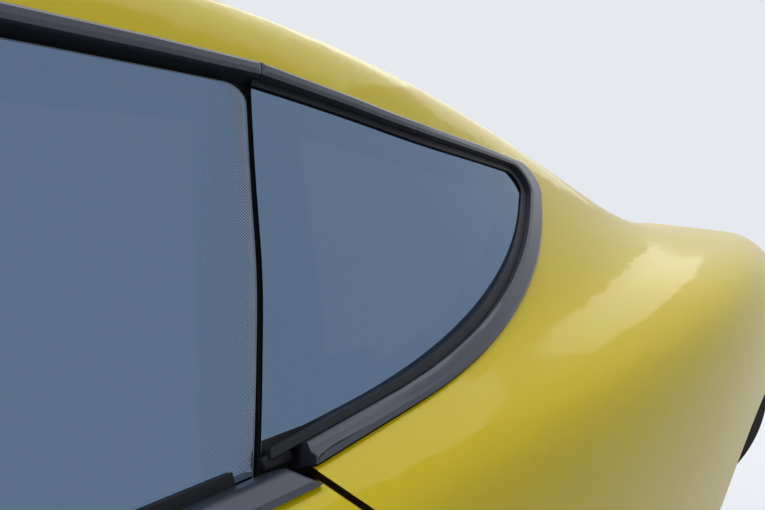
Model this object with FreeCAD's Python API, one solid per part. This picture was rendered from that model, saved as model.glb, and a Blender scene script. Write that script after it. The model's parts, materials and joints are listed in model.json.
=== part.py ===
"""Left body side of a coupe: painted side panel, fixed quarter window, frameless door and their trim.

Frame: +X runs to the tail, +Y to the middle of the car, +Z up, in millimetres.
The origin lies on the inner joint face of the sill, below the rear edge of the door glass.
"""
import math
import os

import FreeCAD
import Part

# Driving dimensions, in millimetres and degrees.
# Stations run to the tail, heights are above the ground, half widths are from the car's middle,
# and depths are below a surface, towards the cabin.
JOINT_HALF_WIDTH = 680.0      # plane where the side is welded to the floor and roof frame
SIDE_HALF_WIDTH = 890.0       # door skin at its widest
DATUM_HEIGHT = 240.0          # height of the origin on the sill
SKIN_THICKNESS = 22.0         # outer panel with its stiffeners
INNER_THICKNESS = 28.0        # inner panels of the pillars and the roof rail
SEAT_CLEARANCE = 0.3          # between pieces that lie on each other
SHUT_GAP = 5.0                # gap all round the door
FRONT_STATION = -1250.0       # cut through the windscreen pillar and sill
CLEAR_OF_CAR = 400.0          # how far cutting tools reach past the surface
OUTSIDE_SKIN = 160.0          # how far out from the surface the sill is cut away

# Glazing
GLASS_THICKNESS = 4.0
GLASS_DEPTH = 8.0
TUMBLEHOME = 28.0             # lean of the window plane
BELT_HALF_WIDTH = 775.0       # window plane at the belt
BELT_HEIGHT = 885.0
GLASS_DROP = 75.0             # door glass below the belt
GLASS_SLOT_GAP = 6.0          # room beside the glass in the door
GLASS_EDGE_GAP = 8.8          # door glass to the satin trim over it
GLASS_CORNER = 20.0

# Trim round the windows
TRIM_PROUD = 4.0              # trim stands over the paint
TRIM_GAP = 2.0                # shadow gap between trim and paint
TRIM_JOINT = 1.0              # gap between the door trim and the quarter surround
RAIL_TRIM_WIDTH = 18.5        # satin trim over the door
RAIL_RUBBER_WIDTH = 8.2       # rubber below it
RUBBER_DEPTH = 17.3           # fixed rubber round the door glass, clear of its inner face
RAIL_FOOT = 0.0               # lower end of the rail's trim and rubber, along the window plane
# Widths from the quarter outline inwards, on its belt, rear, top rear, top front and front edges
SURROUND_WIDTHS = (18.5, 35.5, 18.5, 18.5)        # satin surround, open at the front
GLASS_MARGINS = (26.0, 51.0, 31.0, 28.5)          # visible glass
FRAME_MARGINS = (44.0, 68.0, 46.0, 44.0, 48.0)    # hole in the window frame
FRAME_LANDS = (30.0, 30.0, 32.0, 32.0, 60.0)      # window frame outside the outline
SURROUND_CORNER = 34.0        # least radius of the surround's upper rear corner, inside
GLASS_MARGIN_CORNER = 26.0    # the same for the visible glass
QUARTER_RUBBER_DEPTH = 5.0
GLASS_LAP = 4.0               # glass edge hidden below the rubber
POST_SEAL_WIDTH = 6.1         # rubber between the two panes
POST_SEAL_ENDS = (0.0, 361.0)     # along the window plane
LIP_SEAL_WIDTH = 18.0         # bulb seal round the door opening

# Rear wheel arch
WHEEL_STATION = 1080.0
WHEEL_HEIGHT = 360.0
ARCH_RADIUS = 345.0
BUMPER_FRONT = WHEEL_STATION + 265.0     # where the cut for the bumper meets the arch
LINER_THICKNESS = 4.0
LINER_INNER_HALF_WIDTH = 560.0
LINER_FOOT = 225.0
AXLE_OPENING = 150.0          # radius of the opening round the axle

# Sill and lower pillars
SILL_BOTTOM = 180.0
JAMB_THICKNESS = 6.0
SILL_RIM = 312.0              # inner upstand that carries the carpet edge
SILL_OUTER_HALF_WIDTH = 806.0
SILL_KEEL_HALF_WIDTH = 756.0
PILLAR_FACE_GAP = 18.0        # door to the pillar faces that its seals close on
HINGE_PILLAR_HALF_WIDTH = 806.0
HINGE_PILLAR_REAR = -1128.0
PILLAR_TOP = 846.0
LOCK_PILLAR_REAR = 190.0
LOCK_PILLAR_TOP = 915.0       # behind the foot of the quarter window's front member
INNER_REAR = 1205.0           # rear end of the inner panels
WING_TOP = -14.0              # upper edge of the front wing, along the window plane

# Door
DOOR_THICKNESS = 150.0
DOOR_BELT = -25.0             # upper edge of the painted door skin, along the window plane
DOOR_FLANGE = 20.0            # door skin that overhangs the door structure
DOOR_STEP = 12.0              # overhang at the rear and bottom edges
DOOR_HINGE_STEP = 50.0        # overhang in front of the hinges
DOOR_TRIM_THICKNESS = 30.0
DOOR_TRIM_MARGIN = 48.0
OPENING_MARGIN = 30.0         # inner opening inside the door's outline
GLASS_FRONT = -1070.0         # front edge of the door glass
BELT_TRIM = ((-1128, -25), (28, -25), (11, -6), (-1128, -6))
BELT_SEAL_TOP = 4.0           # strips on both sides of the door glass
BELT_SEAL_FOOT = -32.0
BELT_SEAL_END_GAP = 12.0      # from the rubber between the panes

# Hinges and lock
HINGE_STATION = -1122.0
HINGE_HALF_WIDTH = 838.0
HINGES = (("lower", 430.0), ("upper", 700.0))   # name, height
HINGE_PIN_RADIUS = 5.0
HINGE_KNUCKLE_RADIUS = 10.0
HINGE_PIN_CLEARANCE = 0.1
HINGE_KNUCKLE_HEIGHT = 22.0
HINGE_KNUCKLE_GAP = 0.5
HINGE_LEAF_THICKNESS = 7.0
HINGE_LEAF_HEIGHT = 64.0
HINGE_LEAF_LENGTH = 58.0
HINGE_ARM = 12.0              # fixed arm in front of the axis
LOCK_HEIGHT = 700.0
LOCK_SLOT = (45.0, 20.0)      # depth into the door, height
STRIKER_LOOP = (9.0, 31.0)    # legs, outwards from the door's inner face
STRIKER_REACH = 32.0
STRIKER_BAR = 8.0
PLATE = 4.0                   # striker and latch plates
LATCH_SIZE = (62.0, 68.0)     # outwards, upwards

# Door fittings
HANDLE_STATIONS = (-262.0, -72.0)
HANDLE_DROP = 150.0           # below the belt
HANDLE_BAR = (14.0, 26.0)     # thickness, height
HANDLE_STANDOFF = 40.0
HANDLE_FINGER_ROOM = 26.0     # from the end of the bar to the grip
HANDLE_FOOT_DEPTH = 30.0      # feet drawn inwards, past the curve of the skin
ARMREST = ((-760.0, -190.0), 45.0, (560.0, 604.0))   # stations, depth, heights
ARMREST_ROUNDING = 14.0
SPEAKER = (-930.0, 430.0, 78.0)   # station, height, radius
INNER_HANDLE = (-800.0, 690.0)    # station, height
MIRROR_STATIONS = (-1028.0, -935.0)
MIRROR_ARM = 22.0             # from the door's side inwards to the housing
MIRROR_LIFT = 24.0            # from the belt up to the housing
MIRROR_SIZE = (230.0, 144.0, 52.0)       # across, up, corner radius
MIRROR_NOSE = 40.0            # taper at the front
MIRROR_POCKET = 14.0
MIRROR_RIM = 7.0
MIRROR_GLASS_THICKNESS = 4.0
MIRROR_GLASS_GAP = 2.5        # round the mirror glass
MIRROR_FOOT = ((-1020.0, -930.0), 60.0)  # stations, width across the car

# Outer surface. One row per station; each pair is (half width, height) of a control point of the section,
# in the order seam, roof, rail, glass_high, glass_low, valley, crest, side_high, side_mid, sill_high,
# sill_low.
SECTIONS = (
    (-1300, (640, 960), (665, 962), (700, 955), (735, 925), (775, 892), (810, 872), (885, 865),
     (900, 720), (890, 480), (865, 300), (800, 190)),
    (-1000, (590, 1105), (620, 1105), (655, 1090), (705, 1000), (770, 895), (808, 870), (880, 862),
     (895, 720), (887, 480), (865, 300), (800, 190)),
    (-750, (500, 1250), (550, 1243), (603, 1217), (665, 1078), (766, 897), (803, 870), (872, 862),
     (888, 720), (883, 480), (863, 300), (800, 190)),
    (-450, (430, 1340), (500, 1330), (575, 1300), (643, 1125), (765, 905), (800, 872), (868, 862),
     (882, 720), (878, 480), (862, 300), (800, 190)),
    (-120, (420, 1345), (500, 1335), (568, 1306), (640, 1125), (765, 915), (795, 876), (865, 864),
     (880, 720), (870, 480), (860, 300), (800, 190)),
    (200, (420, 1328), (500, 1315), (568, 1285), (638, 1120), (752, 925), (790, 885), (880, 875),
     (890, 730), (870, 480), (860, 300), (800, 190)),
    (500, (410, 1282), (470, 1268), (543, 1236), (610, 1100), (715, 945), (770, 900), (895, 895),
     (915, 740), (885, 480), (865, 300), (800, 190)),
    (800, (400, 1205), (450, 1190), (515, 1160), (575, 1060), (660, 960), (740, 915), (900, 925),
     (928, 750), (905, 480), (875, 300), (800, 190)),
    (1100, (390, 1105), (440, 1093), (500, 1067), (550, 1000), (620, 950), (700, 925), (885, 945),
     (925, 760), (910, 500), (880, 320), (800, 210)),
    (1400, (380, 1000), (430, 993), (485, 977), (530, 952), (600, 937), (680, 932), (840, 942),
     (900, 770), (895, 540), (865, 360), (790, 250)),
    (1700, (360, 955), (420, 951), (470, 945), (520, 941), (590, 939), (660, 937), (770, 930),
     (845, 770), (850, 580), (825, 400), (760, 290)),
    (1950, (340, 945), (400, 942), (450, 938), (500, 935), (550, 932), (610, 928), (690, 915),
     (770, 780), (780, 600), (760, 430), (700, 320)),
)
GLASS_COLUMNS = 5             # section points from the seam down to glass_low
GLASS_BELOW_BELT = ((50.0, -115.0), (80.0, -235.0))   # the glass line runs straight on below glass_low

RAIL_INNER_REAR = 700.0
RAIL_INNER_EDGE = 56.0        # lower edge of the inner panels, below the roof line
INNER_TOP = 432.0             # upper edge of the inner panels, along the window plane
# Window outlines on the window plane. Each point is (station, distance above the belt, corner radius).
QUARTER_OUTLINE = ((33, -14, 0), (449, 28, 940), (800, 324, 45), (350, 353, 1500), (121, 389, 0))
PANE_LINE = ((2, -20, 0), (57, 150, 900), (112, 389, 0))    # front edge of the quarter glass, upwards
ROOF_LINE = ((121, 389, 0), (-300, 405, 1200), (-760, 339, 500), (-1170, -14, 0))
# Side view outlines. Each point is (station, height, corner radius).
DOOR_OUTLINE = ((7, 902, 0), (-1135, 902, 0), (-1135, 420, 200), (-1100, 285, 60), (-70, 285, 90),
                (25, 400, 200), (87, 600, 260), (81, 828, 70))
RAIL_INNER_OUTLINE = ((-760, 250, 0), (-60, 250, 0), (-60, 340, 0), (RAIL_INNER_REAR, 330, 0),
                      (RAIL_INNER_REAR, INNER_TOP, 0), (-760, INNER_TOP, 0))
PANEL_REAR = ((2100, 100, 0), (2100, 882, 0), (1900, 882, 0), (1640, 848, 30), (1600, 705, 40),
              (BUMPER_FRONT, 600, 0), (BUMPER_FRONT, 100, 0))


def spot(station, half_width, height):
    """A point of the car in the part's frame."""
    return FreeCAD.Vector(station, JOINT_HALF_WIDTH - half_width, height - DATUM_HEIGHT)


def window_spot(station, up, out=0.0):
    """A point given along the leaning window plane: up from the belt, out from the plane."""
    lean = math.radians(TUMBLEHOME)
    half_width = BELT_HALF_WIDTH - up * math.sin(lean) + out * math.cos(lean)
    height = BELT_HEIGHT + up * math.cos(lean) + out * math.sin(lean)
    return spot(station, half_width, height)


def block(stations, half_widths, heights):
    """Box between two stations, two half widths and two heights."""
    corner = spot(min(stations), max(half_widths), min(heights))
    return Part.makeBox(abs(stations[1] - stations[0]), abs(half_widths[1] - half_widths[0]),
                        abs(heights[1] - heights[0]), corner)


def edge_directions(outline):
    """Unit direction of each edge, from its point to the next."""
    result = []
    for here, there in zip(outline, outline[1:] + outline[:1]):
        length = math.hypot(there[0] - here[0], there[1] - here[1])
        result.append(((there[0] - here[0]) / length, (there[1] - here[1]) / length))
    return result


def inset(outline, distances):
    """Counterclockwise outline with each edge moved inwards by its own distance."""
    outline = tuple(outline)
    if not isinstance(distances, (tuple, list)):
        distances = (distances,) * len(outline)
    directions = edge_directions(outline)
    result = []
    for i, (a, b, radius) in enumerate(outline):
        before, after = directions[i - 1], directions[i]
        shift_before, shift_after = distances[i - 1], distances[i]
        turn = before[0] * after[1] - before[1] * after[0]
        along = (shift_before * (before[0] * after[0] + before[1] * after[1]) - shift_after) / turn
        moved = (a - before[1] * shift_before + before[0] * along,
                 b + before[0] * shift_before + before[1] * along)
        bend = radius - math.copysign(1.0, turn) * (shift_before + shift_after) / 2
        result.append((moved[0], moved[1], max(bend, 1.0) if radius else 0.0))
    return tuple(result)


def shifted(points, along):
    """Points of an outline moved along the car."""
    return tuple((a + along, b, radius) for a, b, radius in points)


def wire_of(outline, place):
    """Closed wire of lines and corner arcs; place turns flat coordinates into a point of the car."""
    outline = tuple(outline)
    directions = edge_directions(outline)
    edges = []
    starts, ends = [], []
    for i, (a, b, radius) in enumerate(outline):
        before, after = directions[i - 1], directions[i]
        turn = math.atan2(before[0] * after[1] - before[1] * after[0],
                          before[0] * after[0] + before[1] * after[1])
        back = radius * math.tan(abs(turn) / 2)
        enter = (a - before[0] * back, b - before[1] * back)
        leave = (a + after[0] * back, b + after[1] * back)
        starts.append(enter)
        ends.append(leave)
        if radius:
            inward_x, inward_y = after[0] - before[0], after[1] - before[1]
            size = math.hypot(inward_x, inward_y)
            depth = radius / math.cos(turn / 2) - radius
            middle = (a + inward_x / size * depth, b + inward_y / size * depth)
            edges.append((i, Part.Arc(place(*enter), place(*middle), place(*leave)).toShape()))
    ordered = []
    arcs = dict(edges)
    for i in range(len(outline)):
        if i in arcs:
            ordered.append(arcs[i])
        start, end = place(*ends[i]), place(*starts[(i + 1) % len(outline)])
        if start.distanceToPoint(end) > 1e-6:
            ordered.append(Part.LineSegment(start, end).toShape())
    return Part.Wire(ordered)


def window_prism(outline, low=-CLEAR_OF_CAR, high=CLEAR_OF_CAR):
    """Outline on the window plane, drawn out along the plane's normal."""
    face = Part.Face(wire_of(outline, lambda a, b: window_spot(a, b, low)))
    return face.extrude(window_spot(0, 0, high) - window_spot(0, 0, low))


def side_prism(outline, half_widths=(500.0, 1100.0)):
    """Side view outline, drawn out across the car."""
    low, high = half_widths
    face = Part.Face(wire_of(outline, lambda a, b: spot(a, low, b)))
    return face.extrude(spot(0, high, 0) - spot(0, low, 0))


def length_prism(section, stations):
    """Section of half widths and heights, drawn out along the car."""
    front, rear = stations
    face = Part.Face(wire_of(section, lambda a, b: spot(front, a, b)))
    return face.extrude(FreeCAD.Vector(rear - front, 0, 0))


def clamped_knots(count):
    """Knots and multiplicities of a clamped uniform cubic with that many control points."""
    spans = count - 3
    return list(range(spans + 1)), [4] + [1] * (spans - 1) + [4]


def surface_through(rows):
    """Cubic surface whose control points are the rows."""
    knots_u, mults_u = clamped_knots(len(rows))
    knots_v, mults_v = clamped_knots(len(rows[0]))
    surface = Part.BSplineSurface()
    surface.buildFromPolesMultsKnots(rows, mults_u, mults_v, knots_u, knots_v, False, False, 3, 3)
    return surface


def body_surface():
    """Painted outer surface of the car's side."""
    return surface_through([[spot(row[0], *pair) for pair in row[1:]] for row in SECTIONS])


def glazing_surface():
    """Surface of the panes, which runs straight on below the belt, inside the door."""
    rows = []
    for row in SECTIONS:
        pairs = list(row[1:GLASS_COLUMNS + 1])
        low = pairs[-1]
        pairs += [(low[0] + out, low[1] + down) for out, down in GLASS_BELOW_BELT]
        rows.append([spot(row[0], *pair) for pair in pairs])
    return surface_through(rows)


def inward(surface, u, v):
    """Unit normal of a surface towards the cabin."""
    normal = surface.getDN(u, v, 1, 0).cross(surface.getDN(u, v, 0, 1))
    normal.normalize()
    return normal


def middles(knots, mults):
    """The parameter at which each control point of a cubic pulls most."""
    full = [knot for knot, count in zip(knots, mults) for _ in range(count)]
    return [sum(full[i + 1:i + 4]) / 3 for i in range(len(full) - 4)]


def offset_surface(surface, depth, rounds=12):
    """Surface with the same layout that lies at a depth below another one."""
    if depth == 0:
        return surface
    moved = surface.copy()
    us = middles(surface.getUKnots(), surface.getUMultiplicities())
    vs = middles(surface.getVKnots(), surface.getVMultiplicities())
    aims = [[surface.value(u, v) + inward(surface, u, v) * depth for v in vs] for u in us]
    for _ in range(rounds):
        misses = [[aim - moved.value(u, v) for aim, v in zip(row, vs)] for row, u in zip(aims, us)]
        for i, row in enumerate(misses, 1):
            for j, miss in enumerate(row, 1):
                moved.setPole(i, j, moved.getPole(i, j) + miss)
    return moved


def border(surface):
    """The four edges of a surface."""
    u_low, u_high, v_low, v_high = surface.bounds()
    curves = (surface.uIso(u_low), surface.uIso(u_high), surface.vIso(v_low), surface.vIso(v_high))
    return [curve.toShape() for curve in curves]


def slab(surface, depth_out, depth_in):
    """Solid between two depths below a surface."""
    outer, inner = offset_surface(surface, depth_out), offset_surface(surface, depth_in)
    sides = [Part.makeRuledSurface(a, b) for a, b in zip(border(outer), border(inner))]
    shell = Part.makeShell([outer.toShape(), inner.toShape()] + sides)
    shell.sewShape()
    solid = Part.makeSolid(shell)
    if solid.Volume < 0:
        solid.reverse()
    return solid


def inboard_of(surface, outline, half_width):
    """Everything inside a side view outline, from the surface inwards to a half width."""
    patch = surface.toShape().common(side_prism(outline))
    solid = patch.extrude(FreeCAD.Vector(0, JOINT_HALF_WIDTH, 0))
    return solid.common(side_prism(outline, (half_width, 1100.0)))


# Planes worked out from the driving dimensions
DOOR_INNER_HALF_WIDTH = SIDE_HALF_WIDTH - DOOR_THICKNESS
PILLAR_FACE_HALF_WIDTH = DOOR_INNER_HALF_WIDTH - PILLAR_FACE_GAP
DOOR_TRIM_HALF_WIDTH = DOOR_INNER_HALF_WIDTH - SEAT_CLEARANCE - DOOR_TRIM_THICKNESS
HANDLE_HEIGHT = BELT_HEIGHT - HANDLE_DROP

# Shared forms
BODY = body_surface()
GLAZING = glazing_surface()
GROWN_DOOR = inset(DOOR_OUTLINE, -SHUT_GAP)
SILL_TOP = DOOR_OUTLINE[3][1] - SHUT_GAP - JAMB_THICKNESS - SEAT_CLEARANCE
SURROUND_FRONT = ((QUARTER_OUTLINE[0][0] - 10, QUARTER_OUTLINE[0][1] - 46, 0), QUARTER_OUTLINE[4])


def glass_zone(depth_out, depth_in):
    """Layer that follows the panes."""
    return slab(GLAZING, depth_out, depth_in)


def trim_zone(depth_out, rest_depth):
    """Layer from a depth below the paint down to a depth below the panes' own surface."""
    return slab(BODY, depth_out, 40.0).cut(glass_zone(rest_depth, 100.0))


def carried_down(low, high, foot):
    """Point where the line through two outline points meets a distance above the belt."""
    slope = (high[0] - low[0]) / (high[1] - low[1])
    return (low[0] + slope * (foot - low[1]), foot, 0)


def door_window(edge, foot, rear):
    """Door window outline: edge is its distance below the roof line, rear its rear edge, upwards."""
    front_foot = carried_down(ROOF_LINE[-1], ROOF_LINE[-2], foot)
    rear_foot = carried_down(rear[0], rear[1], foot)
    outline = (rear[-1],) + ROOF_LINE[1:-1] + (front_foot, rear_foot) + rear[1:-1]
    margins = (edge,) * 3 + (0.0,) * (len(outline) - 3)
    return inset(outline, margins)


def quarter_window(margins, front, corner=0.0):
    """Quarter outline moved inwards, with its own distance at the front and a least corner radius."""
    outline = list(inset(QUARTER_OUTLINE, tuple(margins) + (front,)))
    station, up, radius = outline[2]
    outline[2] = (station, up, max(radius, corner))
    return tuple(outline)


def behind_pane(shift):
    """Window plane outline of everything behind the line between the two panes."""
    foot, middle, head = shifted(PANE_LINE, shift)
    return (foot, (1500, foot[1], 0), (1500, head[1], 0), head, middle)


def pane_strip(front, rear, foot, head):
    """Upright strip beside the line between the panes."""
    lower, upper = shifted(PANE_LINE, rear), shifted(PANE_LINE, front)
    outline = (upper[0], lower[0], lower[1], lower[2], upper[2], upper[1])
    band = ((-200, foot, 0), (400, foot, 0), (400, head, 0), (-200, head, 0))
    return window_prism(outline).common(window_prism(band))


def front_of(station):
    """Everything in front of a station."""
    return block((-2000, station), (200, 1200), (0, 1600))


def below_height(height):
    """Everything below a height."""
    return block((-2000, 2200), (200, 1200), (0, height))


def arch(radius, half_widths):
    """Round wheel arch with straight legs down to the ground."""
    low, high = half_widths
    axle = spot(WHEEL_STATION, low, WHEEL_HEIGHT)
    round_part = Part.makeCylinder(radius, high - low, axle, FreeCAD.Vector(0, -1, 0))
    legs = block((WHEEL_STATION - radius, WHEEL_STATION + radius), half_widths, (-100, WHEEL_HEIGHT))
    return round_part.fuse(legs).removeSplitter()


def side_panel():
    """Painted outer panel: windscreen pillar, roof rail, rear pillar, haunch and sill in one piece."""
    skin = slab(BODY, 0, SKIN_THICKNESS).cut(front_of(FRONT_STATION))
    skin = skin.cut(side_prism(PANEL_REAR))
    skin = skin.cut(side_prism(GROWN_DOOR))
    skin = skin.cut(front_wing_room())
    skin = skin.cut(window_prism(door_window(0, -60, shifted(SURROUND_FRONT, 1))))
    skin = skin.cut(window_prism(QUARTER_OUTLINE))
    return skin.cut(arch(ARCH_RADIUS, (500, 1100)))


def front_wing_room():
    """Room of the front wing, which is a separate panel: in front of the door and below the window line."""
    low, high = DOOR_OUTLINE[3][1] - SHUT_GAP, WING_TOP
    front, rear = FRONT_STATION - SEAT_CLEARANCE, DOOR_OUTLINE[1][0] + 45
    wing = window_prism(((front, low - 1100, 0), (rear, low - 1100, 0), (rear, high, 0), (front, high, 0)))
    return wing.common(block((front, rear), (500, 1200), (low, 1000)))


def quarter_frame():
    """Window frame behind the quarter glass; its front member is the pillar behind the door glass."""
    ring = window_prism(inset(QUARTER_OUTLINE, tuple(-land for land in FRAME_LANDS)))
    ring = ring.cut(window_prism(inset(QUARTER_OUTLINE, FRAME_MARGINS)))
    frame = glass_zone(GLASS_DEPTH + GLASS_THICKNESS + SEAT_CLEARANCE, SKIN_THICKNESS + INNER_THICKNESS)
    frame = frame.common(ring)
    skin_room = slab(BODY, -60, SKIN_THICKNESS + SEAT_CLEARANCE).cut(window_prism(QUARTER_OUTLINE))
    door_room = glass_zone(-60, SKIN_THICKNESS + SEAT_CLEARANCE)
    door_room = door_room.cut(window_prism(behind_pane(0)))
    frame = frame.cut(skin_room).cut(door_room).cut(door_top_room())
    return frame.cut(below_height(PILLAR_TOP + SEAT_CLEARANCE))


def door_top_room():
    """Room round the upper edges of the closed door and of its inner trim, below the window."""
    top = DOOR_BELT + SHUT_GAP
    below = window_prism(((-1400, top - 300, 0), (400, top - 300, 0), (400, top, 0), (-1400, top, 0)))
    below = below.fuse(below_height(DOOR_OUTLINE[0][1] - DOOR_TRIM_MARGIN + SHUT_GAP))
    return side_prism(inset(GROWN_DOOR, -JAMB_THICKNESS - SEAT_CLEARANCE)).common(below)


def quarter_glass():
    margins = [width + GLASS_LAP for width in SURROUND_WIDTHS]
    pane = glass_zone(GLASS_DEPTH, GLASS_DEPTH + GLASS_THICKNESS)
    pane = pane.common(window_prism(quarter_window(margins, -100, SURROUND_CORNER)))
    return pane.common(window_prism(behind_pane(0)))


def quarter_surround():
    """Satin moulding round the quarter glass, open at its front."""
    ring = window_prism(quarter_window((TRIM_GAP,) * 4, 0))
    ring = ring.cut(window_prism(quarter_window(SURROUND_WIDTHS, -60, SURROUND_CORNER)))
    return trim_zone(-TRIM_PROUD, GLASS_DEPTH + GLASS_THICKNESS).common(ring)


def quarter_seal():
    """Rubber between the surround and the quarter glass."""
    widths = [width + SEAT_CLEARANCE for width in SURROUND_WIDTHS]
    corner = SURROUND_CORNER - SEAT_CLEARANCE
    ring = window_prism(quarter_window(widths, -60, corner)).common(window_prism(behind_pane(0)))
    ring = ring.cut(window_prism(quarter_window(GLASS_MARGINS, -80, GLASS_MARGIN_CORNER)))
    below_rail = window_prism(door_window(RAIL_TRIM_WIDTH + TRIM_JOINT, -60, shifted(SURROUND_FRONT, 10)))
    ring = ring.cut(window_prism(door_window(0, -60, SURROUND_FRONT)).cut(below_rail))
    return trim_zone(QUARTER_RUBBER_DEPTH, GLASS_DEPTH - SEAT_CLEARANCE).common(ring)


def post_seal():
    """Rubber between the two panes."""
    strip = pane_strip(-SEAT_CLEARANCE - POST_SEAL_WIDTH, -SEAT_CLEARANCE, *POST_SEAL_ENDS)
    return glass_zone(RUBBER_DEPTH, SKIN_THICKNESS).common(strip)


def roof_rail_trim():
    """Satin moulding along the roof rail over the door."""
    front = shifted(SURROUND_FRONT, -TRIM_JOINT)
    ring = window_prism(door_window(TRIM_GAP, RAIL_FOOT, front))
    ring = ring.cut(window_prism(door_window(RAIL_TRIM_WIDTH, -60, front)))
    return trim_zone(-TRIM_PROUD, SKIN_THICKNESS).common(ring)


def roof_rail_seal():
    """Rubber channel between the roof rail moulding and the door glass."""
    rear = shifted(PANE_LINE, -SEAT_CLEARANCE)
    outer = RAIL_TRIM_WIDTH + SEAT_CLEARANCE
    ring = window_prism(door_window(outer, RAIL_FOOT, rear))
    ring = ring.cut(window_prism(door_window(outer + RAIL_RUBBER_WIDTH, -60, shifted(rear, 40))))
    return glass_zone(RUBBER_DEPTH, SKIN_THICKNESS).common(ring)


def roof_rail_inner():
    """Inner panel of the roof rail over the door and quarter window."""
    rail = glass_zone(SKIN_THICKNESS + SEAT_CLEARANCE, SKIN_THICKNESS + INNER_THICKNESS)
    rail = rail.common(window_prism(RAIL_INNER_OUTLINE))
    rail = rail.cut(window_prism(door_window(RAIL_INNER_EDGE, -60, SURROUND_FRONT)))
    lands = tuple(-land - SEAT_CLEARANCE for land in FRAME_LANDS)
    return rail.cut(window_prism(inset(QUARTER_OUTLINE, lands)))


def windscreen_pillar_inner():
    """Inner panel of the windscreen pillar."""
    pillar = glass_zone(SKIN_THICKNESS + SEAT_CLEARANCE, SKIN_THICKNESS + INNER_THICKNESS)
    stations = (FRONT_STATION, RAIL_INNER_OUTLINE[0][0] - SEAT_CLEARANCE)
    pillar = pillar.common(block(stations, (300, 1100), (PILLAR_TOP + SEAT_CLEARANCE, 1500)))
    pillar = pillar.common(window_prism(door_window(-30, -200, SURROUND_FRONT)))
    pillar = pillar.cut(window_prism(door_window(RAIL_INNER_EDGE, -300, SURROUND_FRONT)))
    door_corner = (DOOR_OUTLINE[1][0] - 3 * SHUT_GAP, -700)
    return pillar.cut(block(door_corner, (300, 1200), (PILLAR_TOP, BELT_HEIGHT + SHUT_GAP)))


def quarter_inner():
    """Inner panel round the rear of the quarter window and inside the rear pillar."""
    panel = glass_zone(SKIN_THICKNESS + SEAT_CLEARANCE, SKIN_THICKNESS + INNER_THICKNESS)
    stations = (LOCK_PILLAR_REAR + SEAT_CLEARANCE, INNER_REAR)
    panel = panel.common(block(stations, (200, 1200), (PILLAR_TOP + SEAT_CLEARANCE, 1600)))
    front = RAIL_INNER_REAR + SEAT_CLEARANCE
    panel = panel.cut(window_prism(((0, 240, 0), (front, 240, 0), (front, 900, 0), (0, 900, 0))))
    panel = panel.cut(window_prism(((0, INNER_TOP, 0), (1500, INNER_TOP, 0), (1500, 900, 0), (0, 900, 0))))
    lands = tuple(-land - SEAT_CLEARANCE for land in FRAME_LANDS)
    return panel.cut(window_prism(inset(QUARTER_OUTLINE, lands)))


def side_inner():
    """Inner panel between the lock pillar and the wheel housing, with a ledge up to the quarter panel."""
    stations = (LOCK_PILLAR_REAR + SEAT_CLEARANCE, INNER_REAR)
    face = PILLAR_FACE_HALF_WIDTH + SEAT_CLEARANCE
    outer = face + INNER_THICKNESS
    panel = block(stations, (face, outer), (SILL_TOP + SEAT_CLEARANCE, PILLAR_TOP))
    ledge = block(stations, (300, outer), (PILLAR_TOP - INNER_THICKNESS, PILLAR_TOP))
    ledge = ledge.cut(glass_zone(SKIN_THICKNESS + INNER_THICKNESS, 400))
    return panel.fuse(ledge).removeSplitter().cut(arch(ARCH_RADIUS + SEAT_CLEARANCE, (300, 1100)))


def lock_pillar():
    """Pillar behind the door, from the sill up to the window frame."""
    pillar = block((-60, LOCK_PILLAR_REAR), (JOINT_HALF_WIDTH, PILLAR_FACE_HALF_WIDTH),
                   (SILL_RIM + SEAT_CLEARANCE, LOCK_PILLAR_TOP))
    opening = inset(DOOR_OUTLINE, OPENING_MARGIN)
    pillar = pillar.cut(side_prism(opening))
    over_opening = block((-100, opening[0][0]), (300, 1200), (opening[0][1] - 1, LOCK_PILLAR_TOP + 1))
    return pillar.cut(over_opening).cut(glass_zone(-100, SKIN_THICKNESS + INNER_THICKNESS + SEAT_CLEARANCE))


def hinge_pillar():
    """Pillar that carries the door hinges."""
    return block((FRONT_STATION, HINGE_PILLAR_REAR), (JOINT_HALF_WIDTH, HINGE_PILLAR_HALF_WIDTH),
                 (SILL_RIM + SEAT_CLEARANCE, PILLAR_TOP))


def sill():
    """Box section below the door, with the joint face to the floor."""
    step = PILLAR_FACE_HALF_WIDTH
    section = ((JOINT_HALF_WIDTH, SILL_BOTTOM, 0), (SILL_KEEL_HALF_WIDTH, SILL_BOTTOM, 12),
               (SILL_OUTER_HALF_WIDTH, SILL_TOP - 20, 10), (SILL_OUTER_HALF_WIDTH, SILL_TOP, 0),
               (step, SILL_TOP, 0), (step, SILL_RIM, 6), (JOINT_HALF_WIDTH, SILL_RIM, 0))
    beam = length_prism(section, (FRONT_STATION, WHEEL_STATION - ARCH_RADIUS - SEAT_CLEARANCE))
    return beam.cut(slab(BODY, -OUTSIDE_SKIN, SKIN_THICKNESS + SEAT_CLEARANCE))


def door_jamb():
    """Painted wall of the door opening, from the skin to the lock pillar and over the sill."""
    below_skin = offset_surface(BODY, SKIN_THICKNESS + SEAT_CLEARANCE)
    outline = inset(GROWN_DOOR, -JAMB_THICKNESS)
    wall = inboard_of(below_skin, outline, PILLAR_FACE_HALF_WIDTH + SEAT_CLEARANCE)
    wall = wall.cut(side_prism(GROWN_DOOR))
    return wall.common(block((HINGE_PILLAR_REAR + 40, 400), (500, 1100), (200, PILLAR_TOP)))


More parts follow.
